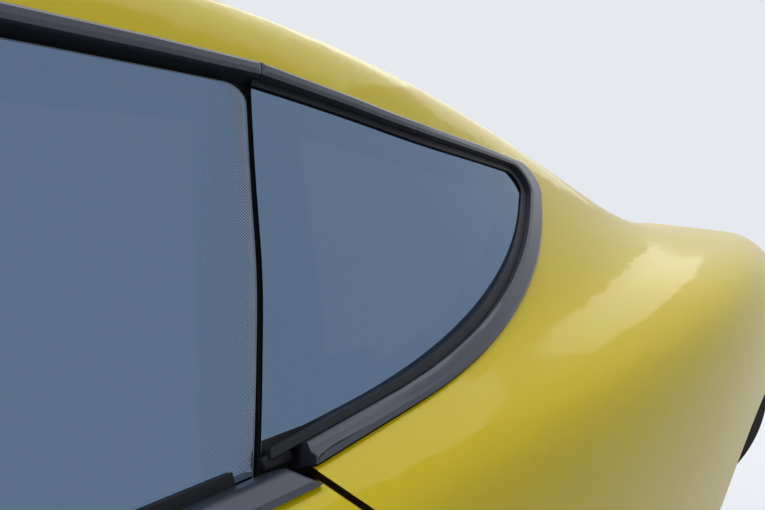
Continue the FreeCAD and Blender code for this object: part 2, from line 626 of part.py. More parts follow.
def wheel_housing():
    """Liner of the wheel arch with its inner wall, cut away round the axle."""
    below_skin = offset_surface(BODY, SKIN_THICKNESS + SEAT_CLEARANCE)
    reach = ARCH_RADIUS + 10
    front, rear = WHEEL_STATION - reach, WHEEL_STATION + reach
    top = WHEEL_HEIGHT + reach
    square = ((front, LINER_FOOT, 0), (rear, LINER_FOOT, 0), (rear, top, 0), (front, top, 0))
    liner = inboard_of(below_skin, square, LINER_INNER_HALF_WIDTH).common(arch(ARCH_RADIUS, (300, 1100)))
    inner_face = LINER_INNER_HALF_WIDTH + LINER_THICKNESS
    liner = liner.cut(arch(ARCH_RADIUS - LINER_THICKNESS, (inner_face, 1100)))
    return liner.cut(arch(AXLE_OPENING, (300, inner_face + 10)))


def glass_lip_seal():
    """Bulb seal that the door glass closes on."""
    rear = shifted(PANE_LINE, -2 * SEAT_CLEARANCE - POST_SEAL_WIDTH)
    outer = RAIL_TRIM_WIDTH + GLASS_EDGE_GAP
    ring = window_prism(door_window(outer, BELT_SEAL_TOP + SHUT_GAP, rear))
    inner = door_window(outer + LIP_SEAL_WIDTH, -90, shifted(rear, -LIP_SEAL_WIDTH))
    ring = ring.cut(window_prism(inner))
    return glass_zone(RUBBER_DEPTH, SKIN_THICKNESS).common(ring)


def door_lip_seal():
    """Bulb seal round the lower door opening."""
    low = PILLAR_FACE_HALF_WIDTH + SEAT_CLEARANCE
    high = DOOR_INNER_HALF_WIDTH - SHUT_GAP
    ring = side_prism(inset(DOOR_OUTLINE, OPENING_MARGIN - LIP_SEAL_WIDTH), (low, high))
    ring = ring.cut(side_prism(inset(DOOR_OUTLINE, OPENING_MARGIN)))
    return ring.common(block((HINGE_PILLAR_REAR + 60, 400), (500, 1100), (200, PILLAR_TOP - 20)))


def door_shell():
    """Door as thick as its wall: outer skin over a stepped structure, with the slot for the glass."""
    shell = inboard_of(BODY, DOOR_OUTLINE, DOOR_INNER_HALF_WIDTH)
    over_belt = ((-1400, DOOR_BELT, 0), (400, DOOR_BELT, 0), (400, 400, 0), (-1400, 400, 0))
    shell = shell.cut(window_prism(over_belt))
    steps = (0.0, DOOR_HINGE_STEP, DOOR_HINGE_STEP) + (DOOR_STEP,) * 5
    room = inboard_of(offset_surface(BODY, DOOR_FLANGE), inset(DOOR_OUTLINE, -30), 500)
    shell = shell.cut(room.cut(side_prism(inset(DOOR_OUTLINE, steps))))
    slot = glass_zone(GLASS_DEPTH - GLASS_SLOT_GAP, GLASS_DEPTH + GLASS_THICKNESS + GLASS_SLOT_GAP)
    shell = shell.cut(slot.common(glass_outline(GLASS_SLOT_GAP, SEAT_CLEARANCE)))
    return shell.cut(lock_slot())


def lock_slot():
    """Slot in the door's rear edge that the striker loop enters."""
    depth, height = LOCK_SLOT
    rear = DOOR_OUTLINE[6][0] + SHUT_GAP
    outer = DOOR_INNER_HALF_WIDTH + STRIKER_LOOP[1] + 15
    return block((rear - depth, rear), (500, outer), (LOCK_HEIGHT - height / 2, LOCK_HEIGHT + height / 2))


def glass_outline(side_gap, foot_gap):
    """Door glass seen on the window plane, grown by a gap at its ends and its foot."""
    rear = shifted(PANE_LINE, -SEAT_CLEARANCE - POST_SEAL_WIDTH + side_gap)
    edge = RAIL_TRIM_WIDTH + GLASS_EDGE_GAP - side_gap
    outline = list(door_window(edge, -GLASS_DROP - foot_gap, rear))
    outline[0] = outline[0][:2] + (GLASS_CORNER,)
    return window_prism(outline).cut(front_of(GLASS_FRONT - side_gap))


def door_glass():
    return glass_zone(GLASS_DEPTH, GLASS_DEPTH + GLASS_THICKNESS).common(glass_outline(0, 0))


def door_belt_trim():
    """Satin moulding on the top edge of the door skin."""
    outline = tuple((a, b + (SEAT_CLEARANCE if b == DOOR_BELT else 0), 0) for a, b in BELT_TRIM)
    return trim_zone(-TRIM_PROUD, GLASS_DEPTH - GLASS_SLOT_GAP).common(window_prism(outline))


def belt_strip(depth_out, depth_in):
    """Rubber strip beside the door glass, standing in its slot."""
    rear = PANE_LINE[0][0] - SEAT_CLEARANCE - POST_SEAL_WIDTH - BELT_SEAL_END_GAP
    outline = ((GLASS_FRONT, BELT_SEAL_FOOT, 0), (rear, BELT_SEAL_FOOT, 0), (rear, BELT_SEAL_TOP, 0),
               (GLASS_FRONT, BELT_SEAL_TOP, 0))
    return glass_zone(depth_out, depth_in).common(window_prism(outline))


def door_outer_wiper():
    return belt_strip(GLASS_DEPTH - GLASS_SLOT_GAP + SEAT_CLEARANCE, GLASS_DEPTH - SEAT_CLEARANCE)


def door_inner_wiper():
    return belt_strip(GLASS_DEPTH + GLASS_THICKNESS + SEAT_CLEARANCE, RUBBER_DEPTH)


def door_trim():
    """Padded inner trim panel of the door."""
    outline = inset(DOOR_OUTLINE, DOOR_TRIM_MARGIN)
    return side_prism(outline, (DOOR_TRIM_HALF_WIDTH, DOOR_INNER_HALF_WIDTH - SEAT_CLEARANCE))


def door_armrest():
    """Armrest with rounded edges on the inner trim."""
    stations, depth, heights = ARMREST
    face = DOOR_TRIM_HALF_WIDTH - SEAT_CLEARANCE
    rest = block(stations, (face - depth, face), heights)
    front = JOINT_HALF_WIDTH - face + depth
    outer_edges = [edge for edge in rest.Edges if edge.BoundBox.YMin > front - 1]
    return rest.makeFillet(ARMREST_ROUNDING, outer_edges)


def speaker_cover():
    """Round speaker cover on the inner trim."""
    station, height, radius = SPEAKER
    face = DOOR_TRIM_HALF_WIDTH - SEAT_CLEARANCE
    return Part.makeCylinder(radius, PLATE, spot(station, face - PLATE, height), FreeCAD.Vector(0, -1, 0))


def inner_handle():
    """Release lever on the inner trim."""
    station, height = INNER_HANDLE
    face = DOOR_TRIM_HALF_WIDTH - SEAT_CLEARANCE
    outline = ((station, face, 0), (station, face - 16, 6), (station + 110, face - 26, 4),
               (station + 110, face - 16, 3), (station + 30, face - 8, 4), (station + 30, face, 0))
    flat = Part.Face(wire_of(outline, lambda a, b: spot(a, b, height)))
    return flat.extrude(FreeCAD.Vector(0, 0, 22))


def outer_handle():
    """Pull handle that stands off the door skin on two feet."""
    front, rear = HANDLE_STATIONS
    thickness, height = HANDLE_BAR
    crown = SIDE_HALF_WIDTH + HANDLE_STANDOFF
    foot = SIDE_HALF_WIDTH - HANDLE_FOOT_DEPTH
    outline = ((front, foot, 0), (rear, foot, 0), (rear, crown, 22), (front, crown, 22))
    inner, outer = front + HANDLE_FINGER_ROOM, rear - HANDLE_FINGER_ROOM
    grip = ((inner, foot - 1, 0), (outer, foot - 1, 0), (outer, crown - thickness, 12),
            (inner, crown - thickness, 12))
    bar = Part.Face(wire_of(outline, lambda a, b: spot(a, b, HANDLE_HEIGHT)))
    bar = bar.extrude(FreeCAD.Vector(0, 0, height))
    hole = Part.Face(wire_of(grip, lambda a, b: spot(a, b, HANDLE_HEIGHT - 5)))
    bar = bar.cut(hole.extrude(FreeCAD.Vector(0, 0, height + 10)))
    return bar.cut(inboard_of(offset_surface(BODY, -SEAT_CLEARANCE), inset(DOOR_OUTLINE, 0), 500))


def mirror_prism(margin, stations):
    """Rounded outline of the mirror, moved inwards and drawn out along the car."""
    width, tall, radius = MIRROR_SIZE
    inner, low = SIDE_HALF_WIDTH - MIRROR_ARM, BELT_HEIGHT + MIRROR_LIFT
    outer, high = inner + width, low + tall
    section = ((inner, low, radius), (outer, low, radius), (outer, high, radius), (inner, high, radius))
    return length_prism(inset(section, margin), stations)


def mirror_housing():
    """Painted mirror housing with a tapered front, open at the back for the glass."""
    front, rear = MIRROR_STATIONS
    shell = mirror_prism(0, (front, rear))
    nose = [edge for edge in shell.Edges if edge.BoundBox.XMax < front + 1]
    shell = shell.makeChamfer(MIRROR_NOSE, nose)
    return shell.cut(mirror_prism(MIRROR_RIM, (rear - MIRROR_POCKET, rear + 10)))


def mirror_glass():
    """Mirror glass in the housing's rear opening."""
    face = MIRROR_STATIONS[1] - MIRROR_POCKET + SEAT_CLEARANCE
    return mirror_prism(MIRROR_RIM + MIRROR_GLASS_GAP, (face, face + MIRROR_GLASS_THICKNESS))


def mirror_foot():
    """Mirror arm that stands on the door's shoulder."""
    (front, rear), width = MIRROR_FOOT
    outer = SIDE_HALF_WIDTH + 12
    inner = outer - width
    outline = ((front, inner, 12), (rear, inner, 12), (rear - 8, outer, 10), (front + 8, outer, 10))
    foot = Part.Face(wire_of(outline, lambda a, b: spot(a, b, BELT_HEIGHT - 60)))
    foot = foot.extrude(FreeCAD.Vector(0, 0, 60 + MIRROR_LIFT + MIRROR_SIZE[1] / 2))
    foot = foot.cut(inboard_of(offset_surface(BODY, -SEAT_CLEARANCE), inset(DOOR_OUTLINE, 0), 500))
    return foot.cut(mirror_prism(-SEAT_CLEARANCE, (MIRROR_STATIONS[0] - 10, MIRROR_STATIONS[1] + 10)))


def knuckle(height, low, high, radius):
    """Upright cylinder on the hinge axis, between two heights from the hinge's middle."""
    return Part.makeCylinder(radius, high - low, spot(HINGE_STATION, HINGE_HALF_WIDTH, height + low))


def hinge_body_leaf(height):
    """Fixed hinge leaf with two knuckles and the pin."""
    half = HINGE_KNUCKLE_HEIGHT / 2
    face = HINGE_PILLAR_HALF_WIDTH + SEAT_CLEARANCE
    stations = (HINGE_PILLAR_REAR - HINGE_LEAF_LENGTH, HINGE_PILLAR_REAR - 1)
    leaf = block(stations, (face, face + HINGE_LEAF_THICKNESS),
                 (height - HINGE_LEAF_HEIGHT / 2, height + HINGE_LEAF_HEIGHT / 2))
    arm_stations = (HINGE_STATION - HINGE_ARM, HINGE_STATION + 6)
    for low in (-3 * half - HINGE_KNUCKLE_GAP, half + HINGE_KNUCKLE_GAP):
        high = low + 2 * half
        arm = block(arm_stations, (face, HINGE_HALF_WIDTH), (height + low, height + high))
        leaf = leaf.fuse(arm).fuse(knuckle(height, low, high, HINGE_KNUCKLE_RADIUS))
    pin = knuckle(height, -3 * half - HINGE_KNUCKLE_GAP, 3 * half + HINGE_KNUCKLE_GAP, HINGE_PIN_RADIUS)
    return leaf.fuse(pin).removeSplitter()


def hinge_door_leaf(height):
    """Hinge leaf on the door's front wall, with the middle knuckle bored for the pin."""
    half = HINGE_KNUCKLE_HEIGHT / 2
    wall = DOOR_OUTLINE[1][0] + DOOR_HINGE_STEP - SEAT_CLEARANCE
    leaf = block((wall - HINGE_LEAF_THICKNESS, wall), (HINGE_HALF_WIDTH - 76, HINGE_HALF_WIDTH + 12),
                 (height - HINGE_LEAF_HEIGHT / 2, height + HINGE_LEAF_HEIGHT / 2))
    arm = block((HINGE_STATION, wall), (HINGE_HALF_WIDTH - 6, HINGE_HALF_WIDTH + 8),
                (height - half, height + half))
    leaf = leaf.fuse(arm).fuse(knuckle(height, -half, half, HINGE_KNUCKLE_RADIUS))
    bore = HINGE_PIN_RADIUS + HINGE_PIN_CLEARANCE
    return leaf.cut(knuckle(height, -half - 10, half + 10, bore)).removeSplitter()


def striker():
    """Striker loop on its plate, fixed to the jamb."""
    face = lock_face() - SEAT_CLEARANCE
    low, high = [DOOR_INNER_HALF_WIDTH + leg for leg in STRIKER_LOOP]
    plate = block((face - PLATE, face), (low - 12, high + 16), (LOCK_HEIGHT - 26, LOCK_HEIGHT + 26))
    tip = face - PLATE - STRIKER_REACH
    heights = (LOCK_HEIGHT - STRIKER_BAR / 2, LOCK_HEIGHT + STRIKER_BAR / 2)
    loop = block((tip, face - PLATE), (low - STRIKER_BAR, high + STRIKER_BAR), heights)
    loop = loop.cut(block((tip + STRIKER_BAR, face - PLATE), (low, high), heights))
    return plate.fuse(loop).removeSplitter()


def lock_face():
    """Station of the jamb at the lock's height, at its foremost point over the striker plate."""
    low, high = DOOR_OUTLINE[6], DOOR_OUTLINE[7]
    slope = (high[0] - low[0]) / (high[1] - low[1])
    return low[0] + slope * (LOCK_HEIGHT + 26 - low[1]) + SHUT_GAP


def door_latch():
    """Latch plate on the door's rear edge, slotted for the striker."""
    low, high = DOOR_OUTLINE[6], DOOR_OUTLINE[7]
    slope = (high[0] - low[0]) / (high[1] - low[1])
    face = low[0] + slope * (LOCK_HEIGHT - LATCH_SIZE[1] / 2 - low[1]) - DOOR_STEP + SEAT_CLEARANCE
    half_widths = (DOOR_INNER_HALF_WIDTH + 2, DOOR_INNER_HALF_WIDTH + LATCH_SIZE[0])
    heights = (LOCK_HEIGHT - LATCH_SIZE[1] / 2, LOCK_HEIGHT + LATCH_SIZE[1] / 2)
    plate = block((face, face + PLATE), half_widths, heights)
    return plate.cut(lock_slot())


NODES = {
    "side_panel": side_panel,
    "door_jamb": door_jamb,
    "windscreen_pillar_inner": windscreen_pillar_inner,
    "roof_rail_inner": roof_rail_inner,
    "quarter_frame": quarter_frame,
    "quarter_inner": quarter_inner,
    "side_inner": side_inner,
    "lock_pillar": lock_pillar,
    "hinge_pillar": hinge_pillar,
    "sill": sill,
    "wheel_housing": wheel_housing,
    "quarter_glass": quarter_glass,
    "quarter_surround": quarter_surround,
    "quarter_seal": quarter_seal,
    "post_seal": post_seal,
    "roof_rail_trim": roof_rail_trim,
    "roof_rail_seal": roof_rail_seal,
    "glass_lip_seal": glass_lip_seal,
    "door_lip_seal": door_lip_seal,
    "striker": striker,
    "door_shell": door_shell,
    "door_trim": door_trim,
    "door_armrest": door_armrest,
    "speaker_cover": speaker_cover,
    "inner_handle": inner_handle,
    "outer_handle": outer_handle,
    "door_glass": door_glass,
    "door_belt_trim": door_belt_trim,
    "door_outer_wiper": door_outer_wiper,
    "door_inner_wiper": door_inner_wiper,
    "door_latch": door_latch,
    "mirror_foot": mirror_foot,
    "mirror_housing": mirror_housing,
    "mirror_glass": mirror_glass,
}


def build():
    """All pieces by name."""
    shapes = {name: make() for name, make in NODES.items()}
    for name, height in HINGES:
        shapes["hinge_" + name + "_body_leaf"] = hinge_body_leaf(height)
        shapes["hinge_" + name + "_door_leaf"] = hinge_door_leaf(height)
    return shapes


def main():
    os.makedirs("parts", exist_ok=True)
    for name, shape in build().items():
        shape.exportStep(os.path.join("parts", name + ".step"))


main()
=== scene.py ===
"""Finishes, fine forms and studio for the left body side of a coupe with its door."""
import json
import math

import bmesh
import bpy
from mathutils import Matrix, Vector


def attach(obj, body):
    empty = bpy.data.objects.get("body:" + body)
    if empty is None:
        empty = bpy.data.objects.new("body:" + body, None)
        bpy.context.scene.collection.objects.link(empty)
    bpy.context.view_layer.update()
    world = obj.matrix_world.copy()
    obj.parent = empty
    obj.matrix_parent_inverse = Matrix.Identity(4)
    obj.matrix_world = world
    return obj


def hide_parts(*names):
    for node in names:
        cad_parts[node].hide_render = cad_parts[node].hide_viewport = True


bl_info = {
    "name": "Coupe Body Side",
    "version": (1, 0, 0),
    "blender": (4, 5, 0),
    "location": "View3D > Sidebar > Body Side",
    "description": "Paint, glass, mouldings and studio for a coupe's body side",
    "category": "Object",
}

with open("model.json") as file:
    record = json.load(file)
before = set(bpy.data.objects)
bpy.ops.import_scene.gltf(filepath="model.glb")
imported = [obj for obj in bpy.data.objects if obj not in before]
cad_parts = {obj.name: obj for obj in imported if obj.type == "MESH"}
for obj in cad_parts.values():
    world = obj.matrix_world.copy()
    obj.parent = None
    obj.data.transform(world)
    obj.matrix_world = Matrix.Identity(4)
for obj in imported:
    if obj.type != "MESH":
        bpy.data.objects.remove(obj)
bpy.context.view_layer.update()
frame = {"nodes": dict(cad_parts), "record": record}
NODES = frame["nodes"]

# Camera, in metres and radians of the row frame
CAMERA_PLACE = (-0.174, -0.421, 0.856)
CAMERA_YAW = math.radians(47.1)
CAMERA_PITCH = math.radians(-7.9)
CAMERA_ROLL = math.radians(-0.1)
CAMERA_LENS = 24.0            # millimetres, on a sensor of the next width
SENSOR_WIDTH = 36.0
CAMERA_NEAR = 0.02            # nearest distance that the camera still shows

# Window plane, which leans inboard from the belt
TUMBLEHOME = math.radians(28.0)
BELT = Vector((0.0, -0.095, 0.645))
REARWARD = Vector((1.0, 0.0, 0.0))
WINDOW_UP = Vector((0.0, math.sin(TUMBLEHOME), math.cos(TUMBLEHOME)))
WINDOW_OUT = Vector((0.0, -math.cos(TUMBLEHOME), math.sin(TUMBLEHOME)))

# Rear edge of the door glass: its place at the belt, its slope and its bend up the window
PANE_EDGE_PLACE = 0.00165
PANE_EDGE_SLOPE = 0.3605
PANE_EDGE_BEND = -0.2947
PANE_MIDDLE = 0.15            # half way up that edge

# Prints on the panes, and a pale strip painted as a highlight along the door glass's edge; they lie a hair
# off the glass
PRINT_RISE = 0.0002
EDGE_GLINT_RISE = 0.0003
DOT_BAND_REACH = 0.04         # part of the door glass that the dots are cut from, before its rear edge
DOT_BAND_START = -0.0015      # first and last dots, before the rear edge of the pane
DOT_BAND_END = -0.021
SMALLEST_DOT = 0.06           # radius of a dot as a share of the pitch, at the end and start of the band
LARGEST_DOT = 0.34

# Rubber corner between the belt moulding and the quarter surround
CORNER_SIZE = (0.026, 0.012, 0.012)
CORNER_EDGE = 0.003
CORNER_STATION = 0.0185       # rearward from the belt's zero
CORNER_DEPTH = 0.005          # inboard of the window plane

# Welding and rounding
SEAM_WELD = 0.00005           # closes the seams of a solid's facets
MOULDING_WELD = 0.0003        # also takes away a moulding's smallest facets
PANE_WELD = 0.00002
FLAT_ANGLE = math.radians(2.0)       # facets of a moulding that meet flatter than this are one face
SMOOTH_ANGLE = math.radians(32.0)    # sharper edges stay crisp
ROUNDED_ANGLE = math.radians(40.0)   # sharper edges are rounded
MOULDING_OUTWARD = 0.45       # outward faces have at least this much of their normal out of the window plane
PANE_OUTWARD = 0.8

PAINTED_PANELS = ("side_panel", "door_shell")
MOULDINGS = ("quarter_surround", "roof_rail_trim", "door_belt_trim")
SEALS_AND_PANES = ("quarter_seal", "roof_rail_seal", "post_seal", "door_outer_wiper", "quarter_glass",
                   "door_glass")

# Studio
GROUND = -0.24
FLOOR_REACH = 30.0
FLOOR_SHARE = 0.45            # how much of the floor's colour reflects light; the rest is its own glow
SKY_LIGHT = (0.46, 0.48, 0.52)
LAMPS = (                     # name, size, place, point that it faces, share of the power
    ("ceiling", (6.0, 3.0), (0.3, 1.2, 3.2), (0.2, 0.0, 0.6), 0.62),
    ("rear", (5.0, 2.6), (4.4, 2.9, 2.8), (0.7, 0.0, 0.6), 0.38),
)


# Shader building blocks

def set_inputs(node, values):
    """Plain values for the named inputs of a node."""
    for label, value in values.items():
        node.inputs[label].default_value = value


def math_node(tree, operation, *values):
    """A calculation with numbers and sockets in a node tree; returns its output."""
    node = tree.nodes.new("ShaderNodeMath")
    node.operation = operation
    for socket, value in zip(node.inputs, values):
        if isinstance(value, (int, float)):
            socket.default_value = value
        else:
            tree.links.new(value, socket)
    return node.outputs["Value"]


def make_group(name, inputs, outputs):
    """Empty shader node group with named sockets; returns it with its two end nodes."""
    group = bpy.data.node_groups.new(name, "ShaderNodeTree")
    for label, kind, value in inputs:
        socket = group.interface.new_socket(name=label, in_out="INPUT", socket_type=kind)
        if value is not None:
            socket.default_value = value
    for label, kind in outputs:
        group.interface.new_socket(name=label, in_out="OUTPUT", socket_type=kind)
    return group, group.nodes.new("NodeGroupInput"), group.nodes.new("NodeGroupOutput")


def fine_grain_group():
    """Fine noise as a height."""
    inputs = (("Vector", "NodeSocketVector", None), ("Scale", "NodeSocketFloat", 400.0),
              ("Detail", "NodeSocketFloat", 3.0))
    group, start, end = make_group("Fine grain", inputs, (("Height", "NodeSocketFloat"),))
    noise = group.nodes.new("ShaderNodeTexNoise")
    for label in ("Vector", "Scale", "Detail"):
        group.links.new(start.outputs[label], noise.inputs[label])
    group.links.new(noise.outputs["Fac"], end.inputs["Height"])
    return group


def soft_wear_group():
    """Two colours mixed by broad cloudy patches, with a roughness that follows them."""
    inputs = (("Vector", "NodeSocketVector", None), ("Scale", "NodeSocketFloat", 6.0),
              ("Colour", "NodeSocketColor", (0.5, 0.5, 0.5, 1.0)),
              ("Worn Colour", "NodeSocketColor", (0.6, 0.6, 0.6, 1.0)),
              ("Roughness", "NodeSocketFloat", 0.4), ("Worn Roughness", "NodeSocketFloat", 0.5))
    outputs = (("Colour", "NodeSocketColor"), ("Roughness", "NodeSocketFloat"))
    group, start, end = make_group("Soft wear", inputs, outputs)
    nodes, links = group.nodes, group.links
    noise = nodes.new("ShaderNodeTexNoise")
    noise.inputs["Detail"].default_value = 6.0
    links.new(start.outputs["Vector"], noise.inputs["Vector"])
    links.new(start.outputs["Scale"], noise.inputs["Scale"])
    patches = nodes.new("ShaderNodeMapRange")
    set_inputs(patches, {"From Min": 0.3, "From Max": 0.7})
    links.new(noise.outputs["Fac"], patches.inputs["Value"])
    for label, kind in (("Colour", "RGBA"), ("Roughness", "FLOAT")):
        mix = nodes.new("ShaderNodeMix")
        mix.data_type = kind
        links.new(patches.outputs["Result"], mix.inputs["Factor"])
        links.new(start.outputs[label], mix.inputs["A"])
        links.new(start.outputs["Worn " + label], mix.inputs["B"])
        links.new(mix.outputs["Result"], end.inputs[label])
    return group


def dot_print_group():
    """Staggered dots that grow from the end of a band to its start; the mask is 1 in a dot."""
    inputs = (("Vector", "NodeSocketVector", None), ("Pitch", "NodeSocketFloat", None),
              ("Start", "NodeSocketFloat", DOT_BAND_START), ("End", "NodeSocketFloat", DOT_BAND_END))
    group, start, end = make_group("Dot print", inputs, (("Mask", "NodeSocketFloat"),))
    nodes, links = group.nodes, group.links
    split = nodes.new("ShaderNodeSeparateXYZ")
    links.new(start.outputs["Vector"], split.inputs["Vector"])
    rows = [math_node(group, "DIVIDE", split.outputs[axis], start.outputs["Pitch"]) for axis in ("X", "Y")]
    reaches = []
    for shift in (0.0, 0.5):
        squares = []
        for row in rows:
            cell = math_node(group, "FRACT", math_node(group, "ADD", row, shift))
            offset = math_node(group, "SUBTRACT", cell, 0.5)
            squares.append(math_node(group, "MULTIPLY", offset, offset))
        reaches.append(math_node(group, "SQRT", math_node(group, "ADD", *squares)))
    radius = nodes.new("ShaderNodeMapRange")
    set_inputs(radius, {"To Min": SMALLEST_DOT, "To Max": LARGEST_DOT})
    links.new(split.outputs["X"], radius.inputs["Value"])
    links.new(start.outputs["End"], radius.inputs["From Min"])
    links.new(start.outputs["Start"], radius.inputs["From Max"])
    inside = math_node(group, "LESS_THAN", math_node(group, "MINIMUM", *reaches), radius.outputs["Result"])
    before_edge = math_node(group, "LESS_THAN", split.outputs["X"], start.outputs["Start"])
    links.new(math_node(group, "MULTIPLY", inside, before_edge), end.inputs["Mask"])
    return group


GROUPS = {"Fine grain": fine_grain_group, "Soft wear": soft_wear_group, "Dot print": dot_print_group}


def new_material(name):
    """Material with one Principled shader; returns it with its node tree and its shader."""
    material = bpy.data.materials.new(name)
    material.use_nodes = True
    return material, material.node_tree, material.node_tree.nodes["Principled BSDF"]


class Surface:
    """A material in the making: cloudy patches of two colours and two roughnesses, in object coordinates."""

    def __init__(self, name, colours, roughness, scale, stretch=(1.0, 1.0, 1.0)):
        self.material, self.tree, self.shader = new_material(name)
        coordinates = self.tree.nodes.new("ShaderNodeTexCoord")
        mapping = self.tree.nodes.new("ShaderNodeMapping")
        mapping.inputs["Scale"].default_value = stretch
        self.link(coordinates.outputs["Object"], mapping.inputs["Vector"])
        self.place = mapping.outputs["Vector"]
        wear = self.group("Soft wear", self.place, {
            "Colour": (*colours[0], 1.0), "Worn Colour": (*colours[1], 1.0),
            "Roughness": roughness[0], "Worn Roughness": roughness[1], "Scale": scale})
        self.link(wear.outputs["Colour"], self.shader.inputs["Base Color"])
        self.link(wear.outputs["Roughness"], self.shader.inputs["Roughness"])

    def link(self, output, target):
        """Link an output to an input."""
        self.tree.links.new(output, target)

    def group(self, name, vector, values):
        """Shared node group, built once, with this material's own values."""
        node = self.tree.nodes.new("ShaderNodeGroup")
        node.node_tree = bpy.data.node_groups.get(name) or GROUPS[name]()
        set_inputs(node, values)
        self.link(vector, node.inputs["Vector"])
        return node

    def add_bumps(self, height, strength, distance):
        """Bumps from a height."""
        bump = self.tree.nodes.new("ShaderNodeBump")
        set_inputs(bump, {"Strength": strength, "Distance": distance})
        self.link(height, bump.inputs["Height"])
        self.link(bump.outputs["Normal"], self.shader.inputs["Normal"])

    def add_grain(self, scale, strength, distance=0.0002):
        """Fine noisy bumps."""
        grain = self.group("Fine grain", self.place, {"Scale": scale})
        self.add_bumps(grain.outputs["Height"], strength, distance)


# Finishes

def body_paint(colour):
    """Solid paint under clear lacquer."""
    surface = Surface("Body paint", (colour, [part * 0.97 for part in colour]), (0.30, 0.36), 3.0)
    surface.add_grain(scale=420.0, strength=0.012)
    set_inputs(surface.shader, {"Coat Weight": 0.7, "Coat Roughness": 0.11, "Specular IOR Level": 0.0})
    return surface.material


def tinted_glass(tint):
    """Dark glass with a bright face; its reflections are tinted blue, a painted reflection of a blue sky."""
    surface = Surface("Tinted glass", (tint, [part * 0.8 for part in tint]), (0.0, 0.012), 5.0)
    # The blue Specular Tint is painted reflection: it colours every reflection in the glass like a blue sky.
    set_inputs(surface.shader, {"Transmission Weight": 1.0, "IOR": 3.2,
                                "Specular Tint": (0.45, 0.68, 1.0, 1.0)})
    return surface.material


def satin_moulding():
    """Dark satin mouldings with a faint grain along the car."""
    surface = Surface("Satin moulding", ((0.046, 0.052, 0.070), (0.054, 0.060, 0.080)), (0.28, 0.36), 1.0,
                      stretch=(40.0, 400.0, 400.0))
    surface.add_grain(scale=8.0, strength=0.05)
    set_inputs(surface.shader, {"Metallic": 0.35, "Coat Weight": 0.25, "Coat Roughness": 0.25})
    return surface.material


def window_rubber():
    """Black rubber of the window seals."""
    surface = Surface("Window rubber", ((0.007, 0.008, 0.011), (0.012, 0.013, 0.017)), (0.42, 0.55), 60.0)
    surface.add_grain(scale=2200.0, strength=0.2)
    set_inputs(surface.shader, {"Specular IOR Level": 0.3})
    return surface.material


def inner_coating():
    """Dull dark coating of the inner panels and pillars."""
    surface = Surface("Inner panel", ((0.020, 0.020, 0.022), (0.030, 0.030, 0.032)), (0.7, 0.85), 9.0)
    surface.add_grain(scale=900.0, strength=0.3)
    return surface.material


def liner_plastic():
    """Coarse plastic of the wheel housing."""
    surface = Surface("Liner plastic", ((0.022, 0.022, 0.023), (0.034, 0.033, 0.032)), (0.6, 0.8), 14.0)
    surface.add_grain(scale=300.0, strength=0.5, distance=0.0006)
    return surface.material


def grained_skin():
    """Leather-like grain of the door's inner trim."""
    surface = Surface("Grained panel", ((0.028, 0.028, 0.031), (0.038, 0.037, 0.040)), (0.45, 0.58), 8.0)
    cells = surface.tree.nodes.new("ShaderNodeTexVoronoi")
    cells.inputs["Scale"].default_value = 520.0
    surface.link(surface.place, cells.inputs["Vector"])
    surface.add_bumps(cells.outputs["Distance"], strength=0.35, distance=0.0004)
    return surface.material


def brushed_steel():
    """Steel of the hinges, the latch, the striker and the inner handle."""
    surface = Surface("Hinge steel", ((0.42, 0.42, 0.43), (0.34, 0.34, 0.35)), (0.28, 0.42), 40.0,
                      stretch=(1.0, 1.0, 12.0))
    surface.add_grain(scale=500.0, strength=0.1)
    set_inputs(surface.shader, {"Metallic": 1.0})
    return surface.material


def black_gloss():
    """Glossy black of the speaker cover and the foot of the mirror."""
    surface = Surface("Black trim", ((0.012, 0.012, 0.013), (0.018, 0.018, 0.019)), (0.2, 0.3), 12.0)
    surface.add_grain(scale=700.0, strength=0.05)
    set_inputs(surface.shader, {"Coat Weight": 0.5})
    return surface.material


def mirror_face():
    """Silvered glass of the mirror."""
    surface = Surface("Mirror face", ((0.80, 0.82, 0.85), (0.77, 0.79, 0.83)), (0.01, 0.03), 10.0)
    set_inputs(surface.shader, {"Metallic": 1.0})
    return surface.material


def printed_dots_and_sheen(pitch):
    """Dots baked onto the glass, with clear glass between them; their pale grey-blue is a painted
    reflection, paler than the print itself.
    """
    # The pale grey-blue of the dots is painted reflection over the print; the dot pattern itself is print.
    surface = Surface("Printed dots and painted sheen", ((0.26, 0.30, 0.35), (0.30, 0.34, 0.39)), (0.3, 0.4), 30.0)
    place = surface.tree.nodes.new("ShaderNodeUVMap")
    place.uv_map = "Print"
    dots = surface.group("Dot print", place.outputs["UV"], {"Pitch": pitch})
    surface.link(dots.outputs["Mask"], surface.shader.inputs["Alpha"])
    return surface.material


def painted_edge_glint():
    """Pale strip along the edge of a pane, a painted highlight of its edge."""
    # The pale grey-blue strip is a painted highlight of the glass's edge, not a colour of the glass.
    surface = Surface("Painted glass edge glint", ((0.24, 0.29, 0.33), (0.18, 0.22, 0.26)), (0.2, 0.3), 25.0)
    return surface.material


FINISHES = {
    "satin_trim": satin_moulding, "window_rubber": window_rubber, "inner_panel": inner_coating,
    "liner": liner_plastic, "door_panel": grained_skin, "hinge_steel": brushed_steel,
    "black_trim": black_gloss, "mirror_face": mirror_face,
}


# Mesh helpers

def slot_of(node):
    """Material slot that the record gives a CAD node."""
    for entry in frame["record"]["subparts"]:
        if entry["node"] == node:
            return entry["material_slot"]
    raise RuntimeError("no such node: " + node)


def body_of(node):
    """Moving body that a CAD node belongs to."""
    for body, members in frame["record"]["behaviour"]["bodies"].items():
        if node in members:
            return body
    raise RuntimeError("no body holds " + node)


def smooth_by_angle(mesh):
    """Smooth shading, with sharp edges kept crisp."""
    for polygon in mesh.polygons:
        polygon.use_smooth = True
    mesh.set_sharp_from_angle(angle=SMOOTH_ANGLE)


